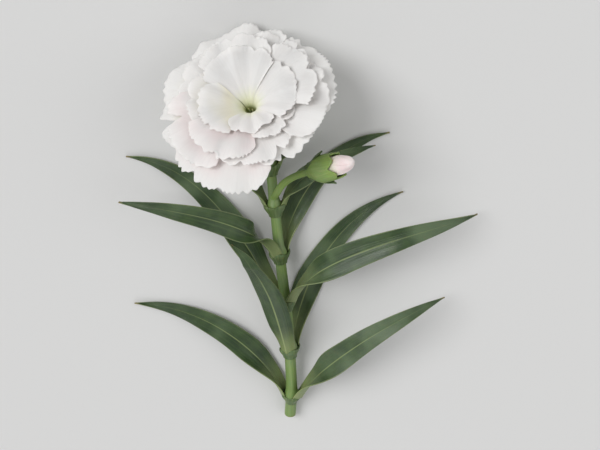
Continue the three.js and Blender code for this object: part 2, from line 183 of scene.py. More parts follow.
# Surface, lights and camera. A light has its name, where it shines from, how many degrees wide it
# is and its strength.
FLOOR_SIZE = 4.0
LIGHTS = (
    ("key", (-0.50, 0.35, 0.65), 34, 1.8),
    ("fill", (0.65, 0.10, 0.55), 45, 0.48),
    ("back", (-0.1, -0.75, 0.5), 40, 0.46),
)
ROOM_LIGHT = 0.4
CAMERA_LENS, CAMERA_LEAN = 85, 24
CAMERA_DISTANCE, CAMERA_RISE = 0.352, 0.0075


# ---- Sizes and colours that can be changed ----


def length(name, description, default):
    return FloatProperty(
        name=name, description=description, default=default, min=0, unit="LENGTH", precision=5
    )


def colour(name, description, default):
    return FloatVectorProperty(
        name=name, description=description, default=default, subtype="COLOR", size=3, min=0, max=1
    )


def share(name, description, default):
    return FloatProperty(
        name=name, description=description, default=default, min=0, max=1, subtype="FACTOR"
    )


class CarnationGreenery(bpy.types.PropertyGroup):
    leaf_thickness: length("Leaf thickness", "Thickness of a leaf along its midrib", 0.0005)
    leaf_edge: share("Leaf edge", "Thickness of a leaf's edge as a share of its midrib's", 0.35)
    midrib_depth: length("Midrib depth", "How deep the groove along a leaf is", 0.00022)
    sheath_reach: length("Sheath reach", "How far down a leaf pair's sheath runs", 0.0026)


class CarnationBloom(bpy.types.PropertyGroup):
    petal_thickness: length("Petal thickness", "Thickness of a petal's claw", 0.00026)
    petal_edge: share("Petal edge", "Thickness of a petal's edge as a share of its claw's", 0.45)
    tooth_depth: length("Tooth depth", "How deep the teeth of a petal's edge are", 0.0009)
    tooth_count: IntProperty(
        name="Teeth", description="Teeth along the edge of an outer petal", default=17, min=3
    )
    frill: length("Frill", "How far the small waves of a petal's edge stand out", 0.00032)
    rib_height: length("Calyx rib", "How far the calyx's ribs stand out", 0.00006)


class CarnationColours(bpy.types.PropertyGroup):
    petal: colour("Petal", "The petals' white", (0.91, 0.885, 0.86))
    # shade is the veins' own greyer white, and also serves as painted shade in the petals' folds.
    shade: colour("Petal shade", "The greyer white of veins and folds", (0.74, 0.715, 0.69))
    cream: colour("Cream", "Blush of the petals on the left", (0.84, 0.77, 0.52))
    pink: colour("Pink", "Blush of the petals below", (0.84, 0.52, 0.55))
    halo: colour("Halo", "Pale yellow-green ring round the throat", (0.83, 0.84, 0.57))
    throat: colour("Throat", "Olive green of the petals' claws", (0.43, 0.48, 0.17))
    leaf: colour("Leaf", "The leaves' deep green", (0.017, 0.044, 0.010))
    leaf_light: colour("Light leaf", "The leaves' lighter green", (0.064, 0.116, 0.028))
    leaf_wax: colour("Wax", "Grey-green wax on the leaves", (0.165, 0.23, 0.13))
    midrib: colour("Midrib", "Pale line along each leaf", (0.31, 0.38, 0.15))
    stalk: colour("Stalk", "Green of the stalk", (0.17, 0.27, 0.075))
    calyx: colour("Calyx", "Green of the calyx", (0.22, 0.34, 0.075))
    cut: colour("Cut end", "Pale inside of the stalk", (0.55, 0.58, 0.30))
    style: colour("Style", "The styles' pale green", (0.72, 0.74, 0.50))
    floor: colour("Floor", "Pale surface under the flower", (0.68, 0.68, 0.675))


# ---- Lines and frames, in millimetres ----


def mix(a, b, k):
    return a + (b - a) * k


def smooth(value, low, high):
    k = min(max((value - low) / (high - low), 0.0), 1.0)
    return k * k * (3 - 2 * k)


def towards(heading, rise):
    """The direction turned so many degrees to the right of +Y and raised by so many."""
    h, e = math.radians(heading), math.radians(rise)
    return Vector((math.sin(h) * math.cos(e), math.cos(h) * math.cos(e), math.sin(e)))


class Line:
    """A line through close points, read by the share of its length."""

    def __init__(self, points):
        self.points = points
        self.marks = [0.0]
        for a, b in zip(points, points[1:]):
            self.marks.append(self.marks[-1] + (b - a).length)
        self.length = self.marks[-1]

    def at(self, share):
        along = min(max(share, 0.0), 1.0) * self.length
        i = min(bisect.bisect_right(self.marks, along) - 1, len(self.points) - 2)
        k = (along - self.marks[i]) / (self.marks[i + 1] - self.marks[i])
        return self.points[i].lerp(self.points[i + 1], k)

    def ahead(self, share, step=0.006):
        return (self.at(share + step) - self.at(share - step)).normalized()

    def frame(self, share):
        """Ahead, to the right and up."""
        ahead = self.ahead(share)
        side = ahead.cross(UP).normalized()
        return ahead, side, side.cross(ahead)


def spline(stops):
    """A centripetal curve through the stops."""
    ends = [2 * stops[0] - stops[1], *stops, 2 * stops[-1] - stops[-2]]
    points = []
    for a, b, c, d in zip(ends, ends[1:], ends[2:], ends[3:]):
        ab, bc, cd = ((q - p).length ** 0.5 for p, q in ((a, b), (b, c), (c, d)))
        leave = ((b - a) / ab - (c - a) / (ab + bc) + (c - b) / bc) * bc
        arrive = ((c - b) / bc - (d - b) / (bc + cd) + (d - c) / cd) * bc
        points += interpolate_bezier(b, b + leave / 3, c - arrive / 3, c, 40)[:-1]
    return Line(points + [stops[-1]])


bloom_axis = towards(BLOOM_TURN, BLOOM_RISE)


def stalk_line():
    stops = [Vector(stop) for stop in STALK_STOPS]
    start = (stops[-1] - stops[-2]).normalized()
    steps = 4
    stride = NECK_BEND * start.angle(bloom_axis) / steps
    for i in range(steps):
        stops.append(stops[-1] + start.lerp(bloom_axis, (i + 0.5) / steps).normalized() * stride)
    return spline(stops)


stalk = stalk_line()


def stalk_radius(share):
    swelling = sum(
        math.exp(-(((share - joint) * stalk.length / JOINT_REACH) ** 2)) for joint in JOINTS
    )
    return mix(STALK_RADIUS, NECK_RADIUS, share) + JOINT_SWELLING * swelling


bloom_right = bloom_axis.cross(UP).normalized()
bloom_top = bloom_right.cross(bloom_axis)
mouth = stalk.at(1) + bloom_axis * (CALYX_LENGTH + GAP)


def in_bloom(radius, angle, height):
    """A place by its distance from the bloom's axis, its angle round it and its height."""
    return (
        mouth
        + bloom_right * (radius * math.cos(angle))
        + bloom_top * (radius * math.sin(angle))
        + bloom_axis * height
    )


# ---- Making pieces ----


def in_row(place):
    return (place + SHIFT) * MM


def grown_sheet(across, along, surface, edge=1.0):
    """A sheet whose point (u, v) is surface(u, v), with u from 0 to 1 along it and v from -1 to 1
    across it. surface also gives the place that its pattern uses, and its thickness."""
    sheet = bmesh.new()
    grown = sheet.verts.layers.float_vector.new("grown")
    thick = sheet.verts.layers.deform.verify()
    bmesh.ops.create_grid(sheet, x_segments=across, y_segments=along, size=1.0)
    for vert in sheet.verts:
        place, pattern, thickness = surface((vert.co.y + 1) / 2, vert.co.x)
        vert.co = in_row(place)
        vert[grown] = pattern
        vert[thick][0] = mix(edge, 1.0, thickness)
    return sheet


def spun_shape(profile, steps, bend):
    """A profile of (radius, height) spun round Z, whose points bend(x, y, z) then places."""
    shape = bmesh.new()
    grown = shape.verts.layers.float_vector.new("grown")
    points = [shape.verts.new((radius, 0, height)) for radius, height in profile]
    edges = [shape.edges.new(pair) for pair in zip(points, points[1:])]
    bmesh.ops.spin(
        shape,
        geom=points + edges,
        cent=(0, 0, 0),
        axis=(0, 0, 1),
        angle=math.tau,
        steps=steps,
        use_merge=True,
    )
    bmesh.ops.remove_doubles(shape, verts=shape.verts, dist=1e-5)
    for vert in shape.verts:
        place, pattern = bend(*vert.co)
        vert.co = in_row(place)
        vert[grown] = pattern
    bmesh.ops.recalc_face_normals(shape, faces=shape.faces)
    return shape


def keep_piece(shape, name, material, nodes=(), thickness=0.0, offset=0.0, by_weight=False):
    for face in shape.faces:
        face.smooth = True
    mesh = bpy.data.meshes.new(name)
    shape.to_mesh(mesh)
    shape.free()
    mesh.materials.append(material)
    piece = bpy.data.objects.new(name, mesh)
    bpy.context.scene.collection.objects.link(piece)
    if by_weight:
        piece.vertex_groups.new(name="thick")
    if thickness:
        wall = piece.modifiers.new("Thickness", "SOLIDIFY")
        wall.thickness = thickness
        wall.offset = offset
        if by_weight:
            wall.vertex_group = "thick"
            wall.thickness_vertex_group = 0.1
    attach(piece, "root")
    if nodes:
        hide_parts(*nodes)
    return piece


def rod_profile(rings):
    """A closed rod of radius 1 from height 0 to 1."""
    side = [(1.0, i / rings) for i in range(rings + 1)]
    return [(0, 0), (0.45, 0), (0.8, 0), *side, (0.6, 1), (0, 1)]


def rod(line, radius, rings, steps):
    def bend(x, y, z):
        _, side, top = line.frame(z)
        r = radius(z)
        place = line.at(z) + side * (x * r) + top * (y * r)
        return place, (x * r, y * r, z * line.length)

    return spun_shape(rod_profile(rings), steps, bend)


# ---- Materials ----


def wire(tree, kind, inputs=None, **settings):
    """Adds a node. Its inputs are given by name or number, as sockets to link or as values."""
    node = tree.nodes.new(kind)
    for key, value in settings.items():
        setattr(node, key, value)
    for key, value in (inputs or {}).items():
        if isinstance(value, bpy.types.NodeSocket):
            tree.links.new(value, node.inputs[key])
        else:
            node.inputs[key].default_value = value
    return node


def finish(name, **sockets):
    """A new material, its tree and its shader, with values on the shader's own sockets."""
    material = bpy.data.materials.new(name)
    material.use_nodes = True
    tree = material.node_tree
    shader = next(node for node in tree.nodes if node.type == "BSDF_PRINCIPLED")
    for key, value in sockets.items():
        shader.inputs[key.replace("_", " ")].default_value = value
    return material, tree, shader


def blend(tree, factor, a, b):
    """The colour between a and b."""
    a, b = (c if isinstance(c, bpy.types.NodeSocket) else (*c, 1) for c in (a, b))
    return wire(tree, "ShaderNodeMix", {0: factor, 6: a, 7: b}, data_type="RGBA").outputs[2]


def ease(tree, value, low, high, start=0.0, end=1.0):
    """Goes smoothly from start to end as value goes from low to high."""
    inputs = {"Value": value, "From Min": low, "From Max": high, "To Min": start, "To Max": end}
    return wire(
        tree, "ShaderNodeMapRange", inputs, interpolation_type="SMOOTHSTEP"
    ).outputs["Result"]


def reckon(tree, operation, a, b=0.0):
    return wire(tree, "ShaderNodeMath", {0: a, 1: b}, operation=operation).outputs[0]


def grain(tree, vector, scale, detail=3.0, roughness=0.55, stretch=(1, 1, 1)):
    """Noise, stretched by so much along each axis."""
    mapped = wire(tree, "ShaderNodeMapping", {"Vector": vector, "Scale": stretch}).outputs[0]
    inputs = {"Vector": mapped, "Scale": scale, "Detail": detail, "Roughness": roughness}
    return wire(tree, "ShaderNodeTexNoise", inputs).outputs["Fac"]


def grown_place(tree):
    """The pattern's own place on a piece, whole and in its three parts."""
    vector = wire(tree, "ShaderNodeAttribute", attribute_name="grown").outputs["Vector"]
    parts = wire(tree, "ShaderNodeSeparateXYZ", {0: vector}).outputs
    return vector, parts[0], parts[1], parts[2]


def object_place(tree):
    return wire(tree, "ShaderNodeTexCoord").outputs["Object"]


def bump(tree, shader, height, strength, distance):
    inputs = {"Height": height, "Strength": strength, "Distance": distance}
    tree.links.new(wire(tree, "ShaderNodeBump", inputs).outputs[0], shader.inputs["Normal"])


def petal_material(name, blush, amount, reach=0.5):
    """Thin matt petal: finely veined, pale yellow-green round the throat, with a soft blush, and
    with painted shade in greyer white along its folds.
    """
    colours = bpy.context.scene.carnation_colours
    material, tree, shader = finish(
        name,
        Roughness=0.6,
        Specular_IOR_Level=0.28,
        Subsurface_Weight=0.5,
        Subsurface_Scale=0.001,
        Subsurface_Radius=(1.0, 0.94, 0.91),
        Sheen_Weight=0.15,
        Sheen_Roughness=0.5,
    )
    vector, _, along, _ = grown_place(tree)
    veins = grain(tree, vector, 1.0, 3.0, 0.6, (26, 1.3, 3.0))
    # Painted shade: folds marks wide bands across each petal, and folded lays the greyer shade
    # colour there to stand in for the shade in the petal's folds.
    folds = grain(tree, vector, 1.0, 1.0, 0.5, (6, 1.1, 3.0))
    cloud = grain(tree, object_place(tree), 95.0, 2.0)
    veined = blend(tree, ease(tree, veins, 0.45, 0.8, 0, 0.22), colours.petal, colours.shade)
    folded = blend(tree, ease(tree, folds, 0.5, 0.8, 0, 0.1), veined, colours.shade)
    tinted = reckon(tree, "MULTIPLY", ease(tree, cloud, 0.25, 0.6), amount)
    inside = reckon(tree, "MULTIPLY", tinted, ease(tree, along, reach + 0.35, reach))
    placed = reckon(tree, "MULTIPLY", inside, ease(tree, along, reach - 0.4, reach - 0.1))
    blushed = blend(tree, placed, folded, blush)
    streaked = reckon(tree, "ADD", along, ease(tree, veins, 0.3, 0.7, -0.05, 0.05))
    halo = blend(tree, ease(tree, streaked, 0.5, 0.12, 0, 0.85), blushed, colours.halo)
    throat = blend(tree, ease(tree, streaked, 0.13, -0.06), halo, colours.throat)
    tree.links.new(throat, shader.inputs["Base Color"])
    tree.links.new(ease(tree, veins, 0.2, 0.8, 0.52, 0.7), shader.inputs["Roughness"])
    bump(tree, shader, veins, 0.35, 0.00012)
    return material


def leaf_material(name, shade):
    """Waxy leaf: a fine pale midrib, close veins along it and a grey-green bloom of wax."""
    colours = bpy.context.scene.carnation_colours
    material, tree, shader = finish(
        name,
        Roughness=0.4,
        Specular_IOR_Level=0.5,
        Subsurface_Weight=0.06,
        Subsurface_Scale=0.0007,
        Coat_Weight=0.12,
        Coat_Roughness=0.28,
    )
    vector, across, along, _ = grown_place(tree)
    aside = reckon(tree, "ABSOLUTE", across)
    veins = grain(tree, vector, 1.0, 2.0, 0.5, (22, 1.1, 4.0))
    spots = grain(tree, object_place(tree), 210.0, 5.0, 0.6)
    wax = grain(tree, object_place(tree), 55.0, 3.0)
    body = blend(tree, ease(tree, spots, 0.35, 0.7, 0, shade), colours.leaf, colours.leaf_light)
    lined = blend(tree, ease(tree, veins, 0.45, 0.72, 0, 0.4), body, colours.leaf_light)
    waxed = blend(tree, ease(tree, wax, 0.44, 0.7, 0, 0.45), lined, colours.leaf_wax)
    young = blend(tree, ease(tree, along, 0.26, 0.0, 0, 0.7), waxed, colours.midrib)
    rib = reckon(
        tree, "MULTIPLY", ease(tree, aside, 0.075, 0.02), ease(tree, along, 0.95, 0.3, 0.1, 0.6)
    )
    ribbed = blend(tree, rib, young, colours.midrib)
    edged = blend(tree, ease(tree, aside, 0.94, 1.0, 0, 0.4), ribbed, colours.midrib)
    tipped = blend(tree, ease(tree, along, 0.965, 1.0, 0, 0.7), edged, (0.30, 0.22, 0.07))
    tree.links.new(tipped, shader.inputs["Base Color"])
    tree.links.new(ease(tree, wax, 0.3, 0.7, 0.3, 0.55), shader.inputs["Roughness"])
    bump(tree, shader, veins, 0.6, 0.0002)
    return material


def stem_material(name, green, streak, cut=None):
    """Smooth green skin with faint streaks along it, and a pale end where it was cut."""
    colours = bpy.context.scene.carnation_colours
    material, tree, shader = finish(
        name,
        Roughness=0.45,
        Specular_IOR_Level=0.45,
        Subsurface_Weight=0.1,
        Subsurface_Scale=0.0008,
    )
    vector, x, y, along = grown_place(tree)
    fibres = grain(tree, vector, 1.0, 3.0, 0.55, (streak, streak, 0.12))
    patches = grain(tree, vector, 0.16, 2.0)
    body = blend(tree, ease(tree, patches, 0.35, 0.7, 0, 0.5), green, colours.leaf_wax)
    streaked = blend(tree, ease(tree, fibres, 0.4, 0.75, 0, 0.4), body, colours.midrib)
    if cut is not None:
        sideways = wire(tree, "ShaderNodeCombineXYZ", {0: x, 1: y}).outputs[0]
        from_axis = wire(tree, "ShaderNodeVectorMath", {0: sideways}, operation="LENGTH")
        rim = ease(tree, from_axis.outputs["Value"], 1.0, 1.35)
        ring = blend(tree, rim, cut, colours.midrib)
        streaked = blend(tree, ease(tree, along, 0.25, 0.05), streaked, ring)
    tree.links.new(streaked, shader.inputs["Base Color"])
    bump(tree, shader, fibres, 0.4, 0.00018)
    return material


def plain_floor():
    colours = bpy.context.scene.carnation_colours
    material, tree, shader = finish("pale_paper", Roughness=0.85, Specular_IOR_Level=0.2)
    speck = grain(tree, object_place(tree), 900.0, 3.0)
    tone = blend(tree, ease(tree, speck, 0.3, 0.7, 0, 0.06), colours.floor, (0.64, 0.64, 0.64))
    tree.links.new(tone, shader.inputs["Base Color"])
    return material


# ---- Stalk and leaves ----


class CARNATION_OT_stalk(bpy.types.Operator):
    """Grow the jointed stalk and the sheath at each leaf joint"""

    bl_idname = "carnation.grow_stalk"
    bl_label = "Grow stalk"

    def execute(self, context):
        greenery = context.scene.carnation_greenery
        colours = context.scene.carnation_colours
        skin = stem_material("stalk_skin", colours.stalk, 2.2, colours.cut)
        keep_piece(rod(stalk, stalk_radius, 190, 28), "stalk_grown", skin, ["stalk"])
        collar = stem_material("sheath_skin", colours.leaf_light, 2.6)
        reach = greenery.sheath_reach / MM
        for number, joint in enumerate(JOINTS):
            turns = [math.radians(leaf.turn) for leaf in LEAVES if leaf.joint == number]

            def bend(x, y, z, joint=joint, turns=turns):
                angle = math.atan2(y, x)
                hold = max(smooth(math.cos(angle - turn), 0.15, 0.75) for turn in turns)
                along = mix(-reach, 0.1 + 0.5 * hold, z) / stalk.length + joint
                _, side, top = stalk.frame(along)
                r = stalk_radius(along) + 0.04 + (0.06 + 0.5 * hold) * smooth(z, 0.0, 0.95)
                place = stalk.at(along) + side * (x * r) + top * (y * r)
                return place, (2 * x, 2 * y, along * stalk.length)

            profile = [(1.0, i / 12) for i in range(13)]
            shape = spun_shape(profile, 40, bend)
            keep_piece(
                shape, f"leaf_sheath_{number + 1}", collar, thickness=0.0003, offset=-1
            )
        return {"FINISHED"}


def leaf_line(leaf):
    joint = JOINTS[leaf.joint]
    ahead, side, top = stalk.frame(joint)
    turn = math.radians(leaf.turn)
    out = side * math.cos(turn) + top * math.sin(turn)
    start = stalk.at(joint) + out * (stalk_radius(joint) + GAP + LEAF_THICKNESS / 2)
    reach = 0.94 * leaf.length
    flat = math.sqrt(max(reach**2 - (leaf.tip - start.z) ** 2, 1))
    end = Vector((start.x, start.y, leaf.tip)) + towards(leaf.heading, 0) * flat
    shoulder = end - towards(leaf.heading + leaf.curl, -leaf.dip) * 0.36 * leaf.length
    rise = start + ahead * 0.26 * leaf.length + out * 0.1 * leaf.length
    return Line(interpolate_bezier(start, rise, shoulder, end, 200)), out


def leaf_outline(u):
    return (0.6 + 0.4 * smooth(u, 0, 0.36)) * max((1 - u**2.5) ** 1.05, 0.03)


def leaf_surface(leaf, number, groove):
    line, out = leaf_line(leaf)
    clasp = 1 / (stalk_radius(JOINTS[leaf.joint]) + GAP + LEAF_THICKNESS)
    lowest = LEAF_THICKNESS / 2 + LIFT
    inwards = -out
    sky = inwards if leaf.dip < 0 else Vector((-0.4 * out.x, 0.15, 1)).normalized()
    size = leaf.width / 9

    @functools.lru_cache(None)
    def row(u):
        ahead = line.ahead(u)
        facing = inwards.lerp(sky, smooth(u, 0, 0.45)).normalized()
        across = facing.cross(ahead).normalized()
        return line.at(u), across, ahead.cross(across)

    def surface(u, v):
        middle, across, face = row(round(u, 6))
        half = leaf.width / 2 * leaf_outline(u)
        clasped = clasp * (1 - smooth(u, 0, 0.22)) + 1e-4
        fold = mix(0.3, 0.12, smooth(u, 0.05, 0.7)) * half * v * v
        rib = -groove * math.exp(-((v / 0.1) ** 2)) * (1 - u)
        side = 1 if v > 0 else -1
        wave = 0.34 * size * v * v * smooth(u, 0.1, 0.4) * math.sin(
            15 * u + 2.3 * number + side * (1.2 + 3 * u)
        )
        dent = 0.22 * size * noise.noise(Vector((1.5 * v, 7 * u, 3.7 * number)))
        dent *= smooth(u, 0.1, 0.3)
        bent = clasped * v * half
        raised = (1 - math.cos(bent)) / clasped + fold + rib + wave + dent
        place = middle + across * (math.sin(bent) / clasped) + face * raised
        soft = 0.3
        place.z = lowest + soft * math.log1p(math.exp(min((place.z - lowest) / soft, 60)))
        thick = (1 - 0.85 * abs(v) ** 1.5) * (1 - 0.6 * u)
        return place, (v, u, number * 1.7), thick

    return surface


class CARNATION_OT_leaves(bpy.types.Operator):
    """Grow the opposite leaves, each folded along its midrib"""

    bl_idname = "carnation.grow_leaves"
    bl_label = "Grow leaves"

    def execute(self, context):
        greenery = context.scene.carnation_greenery
        skins = [leaf_material("leaf_skin", 0.55), leaf_material("young_leaf_skin", 0.9)]
        for number, leaf in enumerate(LEAVES):
            surface = leaf_surface(leaf, number, greenery.midrib_depth / MM)
            shape = grown_sheet(24, 90, surface, greenery.leaf_edge)
            keep_piece(
                shape,
                leaf.name + "_grown",
                skins[number >= len(LEAVES) - YOUNG_LEAVES],
                [leaf.name],
                thickness=greenery.leaf_thickness,
                by_weight=True,
            )
        return {"FINISHED"}


# ---- Bloom ----


def calyx_radius(height):
    along = 1 + height / CALYX_LENGTH
    rounding = math.sqrt(1 - (1 - min(max(along / 0.16, 0), 1)) ** 2)
    return mix(CALYX_BASE_RADIUS, CALYX_RADIUS, rounding) + 1.3 * smooth(along, 0.95, 1.3)


def toothed(angle, power):
    return abs(math.cos(TOOTH_COUNT * angle / 2)) ** power


class CARNATION_OT_calyx(bpy.types.Operator):
    """Grow the ribbed calyx and the bracts at its foot"""

    bl_idname = "carnation.grow_calyx"
    bl_label = "Grow calyx"

    def execute(self, context):
        colours = context.scene.carnation_colours
        rib = context.scene.carnation_bloom.rib_height / MM
        skin = stem_material("calyx_skin", colours.calyx, 3.2)
        rows = 34

        def bend(x, y, z):
            angle, from_axis = math.atan2(y, x), math.hypot(x, y)
            tooth = toothed(angle, 1.3) * smooth(z, -CALYX_LENGTH * 0.3, 0)
            height = z + TOOTH_LENGTH * tooth
            ribs = rib * math.cos(25 * angle) * smooth(z, -CALYX_LENGTH, -CALYX_LENGTH * 0.7)
            radius = from_axis * (calyx_radius(height) + ribs)
            pattern = (4 * math.cos(angle) * from_axis, 4 * math.sin(angle) * from_axis, height)
            return in_bloom(radius, angle, height), pattern

        profile = [(0, -CALYX_LENGTH), (0.5, -CALYX_LENGTH)]
        profile += [(1, mix(-CALYX_LENGTH, 0, (i / rows) ** 1.4)) for i in range(rows + 1)]
        keep_piece(
            spun_shape(profile, 150, bend),
            "calyx_grown",
            skin,
            ["calyx"],
            thickness=CALYX_WALL * MM * 0.8,
            offset=-1,
        )
        bract_skin = stem_material("bract_skin", colours.leaf_light, 3.0)
        for i in range(4):
            layer = i % 2
            surface = bract_surface(40 + 90 * i, 8.6 - 1.4 * layer, 6.6 - 0.8 * layer, layer)
            keep_piece(
                grown_sheet(20, 26, surface, BRACT_EDGE),
                f"bract_{i + 1}_grown",
                bract_skin,
                [f"bract_{i + 1}"],
                thickness=BRACT_THICKNESS * MM,
                by_weight=True,
            )
        return {"FINISHED"}


def bract_surface(turn, long, width, layer):
    def surface(u, v):
        height = -CALYX_LENGTH + 0.4 + u * long
        flare = 1.1 * smooth(u, 0.65, 1.15)
        radius = calyx_radius(height) + GAP + 0.2 + layer * (0.35 + GAP) + flare
        outline = (0.8 + 0.2 * math.sin(math.pi * min(u, 0.5))) * max(1 - u**2.2, 0.03)
        radius += 0.18 * math.exp(-((v / 0.16) ** 2)) * smooth(u, 0, 0.3)
        angle = math.radians(turn) + v * width / 2 * outline / radius
        place = in_bloom(radius, angle, height)
        return place, (2 * v, 3 * turn, u * long), 1 - 0.8 * abs(v) ** 2

    return surface


def petal_profile(whorl):
    """The middle line of a petal seen from the side: up the calyx, over its mouth and outwards.
    Gives the line, and how far along it the claw and the bend end."""
    bend = PETAL_BEND + WHORLS[0].claw - whorl.claw
    lean, tip_lean = math.radians(whorl.lean), math.radians(whorl.tip_lean)
    straight = whorl.deep + PETAL_BEND_START
    total = straight + whorl.blade * LONGEST
    steps = 240
    step = total / steps
    rows = [(whorl.claw, -whorl.deep, 0.0)]
    for i in range(steps):
        along = step * (i + 0.5) - straight
        past = min(max((along - bend * lean) / (whorl.blade - bend * lean), 0), 1)
        angle = 0 if along < 0 else min(along / bend, lean) + past * (tip_lean - lean)
        r, w, _ = rows[-1]
        rows.append((r + math.sin(angle) * step, w + math.cos(angle) * step, angle))

    def at(s):
        place = min(max(s / step, 0), steps)
        i = min(int(place), steps - 1)
        return [mix(a, b, place - i) for a, b in zip(rows[i], rows[i + 1])]

    return at, straight, straight + bend * lean


def petal_edge(v, count, seed):
    """How much of a tooth is missing at v, from 0 at the tips of the teeth to 1 between them."""
    wander = 0.1 * math.sin(3.3 * v + seed) + 0.05 * math.sin(8.3 * v + 2 * seed)
    place = count * (v + wander) / 2
    notch = abs((place % 1) - 0.5) * 2
    depth = 0.55 + 0.75 * noise.noise(Vector((3.1 * v, 5.3 * seed, 0.4)))
    return notch**1.3 * max(depth, 0.15)


def petal_surface(whorl, rank, index, bloom):
    at, straight, turned = petal_profile(whorl)
    wander = 3.5 * math.sin(2.7 * index + 3 * whorl.claw)
    middle = math.radians(90 + whorl.turn + 360 / len(whorl.lengths) * index + wander)
    blade = whorl.blade * whorl.lengths[index]
    seed = 1.9 * index + 4.3 * rank + 0.6
    size = blade / WHORLS[0].blade
    teeth = max(round(bloom.tooth_count * (0.35 + 0.65 * size)), 5)
    spread = math.radians(whorl.spread)
    blade_half = math.radians(whorl.half) + spread
    claw_half = min(CLAW_HALF_WIDTH / whorl.claw, math.radians(CLAW_HALF_ANGLE)) + 0.7 * spread
    lobe = 0.5 * math.sin(1.7 * seed)

    def outline(angle):
        """How far the bloom's own outline lets a blade reach at that angle."""
        cut = 0
        for place, depth, width in NOTCHES:
            aside = abs((math.degrees(angle) - place + 180) % 360 - 180) / width
            cut += depth * max(1 - aside, 0) ** 1.5
        return WHORLS[0].blade * 1.08 - cut

    def surface(u, v):
        uneven = 1 + 0.4 * math.sin(2.3 * seed + (2.1 if v > 0 else 0))
        rounding = CORNER_ROUNDING * abs(v) ** 3.4 * size * uneven
        edge = bloom.tooth_depth / MM * (0.5 + 0.5 * size) * petal_edge(v, teeth, seed)
        notch = LOBE_DEPTH * size * math.exp(-(((v - lobe) / LOBE_HALF_WIDTH) ** 2))
        if u < CLAW_ROWS:
            s = straight * u / CLAW_ROWS
        elif u < BEND_ROWS:
            s = mix(straight, turned, (u - CLAW_ROWS) / (BEND_ROWS - CLAW_ROWS))
        else:
            k = (u - BEND_ROWS) / (1 - BEND_ROWS)
            whole = blade - rounding
            limit = outline(middle + v * blade_half) - 0.6 * rank
            over = CORNER_SOFTNESS * math.log1p(math.exp((whole - limit) / CORNER_SOFTNESS))
            reach = straight + whole - over - (edge + notch) * smooth(k, 0.55, 1)
            s = mix(turned, reach, k)
        r, w, lean = at(s)
        out = max(s - straight, 0)
        t = out / whorl.blade
        half = mix(claw_half, blade_half, smooth(out, 0, 12 * size))
        angle = middle + v * half
        tilt = whorl.tilt * v * smooth(out, 3.4, 9)
        ruffle = whorl.ruffle * t * t * math.sin(11 * angle + 5 * whorl.claw)
        swell = 0.9 * t * t * noise.noise(
            Vector((2.4 * math.cos(angle), 2.4 * math.sin(angle), 5 * rank + 0.9 * t))
        )
        frill = bloom.frill / MM * size * t**4 * (
            math.sin(6.4 * v + 1.7 * seed) + 0.6 * math.sin(15 * v + 2.2 * seed)
        )
        crease = -0.22 * math.exp(-((v / 0.13) ** 2)) * smooth(t, 0.05, 0.5)
        curl = whorl.curl * smooth(t, 0.7, 1.05) ** 2
        off = tilt + ruffle + swell + frill + crease + curl
        if whorl is WHORLS[-1]:
            oval = THROAT_OVAL * math.sin(2 * angle + 0.6) * smooth(s, straight - 5, straight)
            r += oval * (1 - smooth(out, 2, 7))
        place = in_bloom(r - off * math.cos(lean), angle, w + off * math.sin(lean))
        return place, (v, (s - straight) / whorl.blade, seed), 1 - smooth(t, 0.0, 1.0)

    return surface


class CARNATION_OT_petals(bpy.types.Operator):
    """Grow the petals, whorl by whorl, with toothed and waved edges"""

    bl_idname = "carnation.grow_petals"
    bl_label = "Grow petals"

    def execute(self, context):
        bloom = context.scene.carnation_bloom
        colours = context.scene.carnation_colours
        plain = petal_material("petal_white", colours.pink, 0.03)
        cream = petal_material("petal_cream", colours.cream, 0.65, 0.55)
        pink = petal_material("petal_pink", colours.pink, 0.33, 0.7)
        for rank, whorl in enumerate(WHORLS):
            columns = 110 if rank < 2 else 84
            for index in range(len(whorl.lengths)):
                around = (whorl.turn + 360 / len(whorl.lengths) * index) % 360
                skin = cream if 80 < around < 115 else pink if 20 < around < 80 else plain
                name = f"petal_{whorl.name}_{index + 1}"
                surface = petal_surface(whorl, rank, index, bloom)
                keep_piece(
                    grown_sheet(columns, 46, surface, bloom.petal_edge),
                    name + "_grown",
                    skin,
                    [name],
                    thickness=bloom.petal_thickness,
                    by_weight=True,
                )
        return {"FINISHED"}


def upright_rod(radius, foot, top, start, shape, curl=0.0):
    """A rod up the middle of the bloom, at a distance and an angle from its axis."""
    from_axis, angle = start

    def bend(x, y, z):
        away = from_axis * (1 - 0.12 * z)
        centre = in_bloom(away + curl * z**3, angle + curl * z * z, mix(foot, top, z))
        r = radius * shape(z)
        place = centre + bloom_right * (x * r) + bloom_top * (y * r)
        return place, (x * r, y * r, z * (top - foot))

    return spun_shape(rod_profile(24), 16, bend)


class CARNATION_OT_heart(bpy.types.Operator):
    """Grow the ovary, styles and stamens inside the calyx"""

    bl_idname = "carnation.grow_heart"
    bl_label = "Grow heart"

    def execute(self, context):
        colours = context.scene.carnation_colours
        green = stem_material("ovary_skin", colours.calyx, 3.0)
        pale = stem_material("style_skin", colours.style, 4.0)
        dust = stem_material("stamen_skin", colours.style, 4.0)

        def egg(z):
            return 0.25 + 0.75 * math.sin(math.pi * (0.12 + 0.8 * z))

        def club(z):
            return 1 + smooth(z, 0.8, 0.9)

        foot = -CALYX_LENGTH
        ovary = upright_rod(0.5, foot + 1.6, -6.6, (0, 0), egg)
        keep_piece(ovary, "ovary_grown", green, ["ovary"])
        for i in range(2):
            style = upright_rod(
                0.26, -6.3, 2.6 - i, (0.4, math.pi * i + 0.5), lambda z: 1 - 0.7 * z, 0.3
            )
            keep_piece(style, f"style_{i + 1}_grown", pale, [f"style_{i + 1}"])
        for i, angle in enumerate(STAMEN_ANGLES):
            place = (0.8, math.radians(angle))
            stamen = upright_rod(0.14, foot + 1.8, 0.4 - 0.9 * i, place, club)
            keep_piece(stamen, f"stamen_{i + 1}_grown", dust, [f"stamen_{i + 1}"])
        return {"FINISHED"}


# ---- Side bud ----


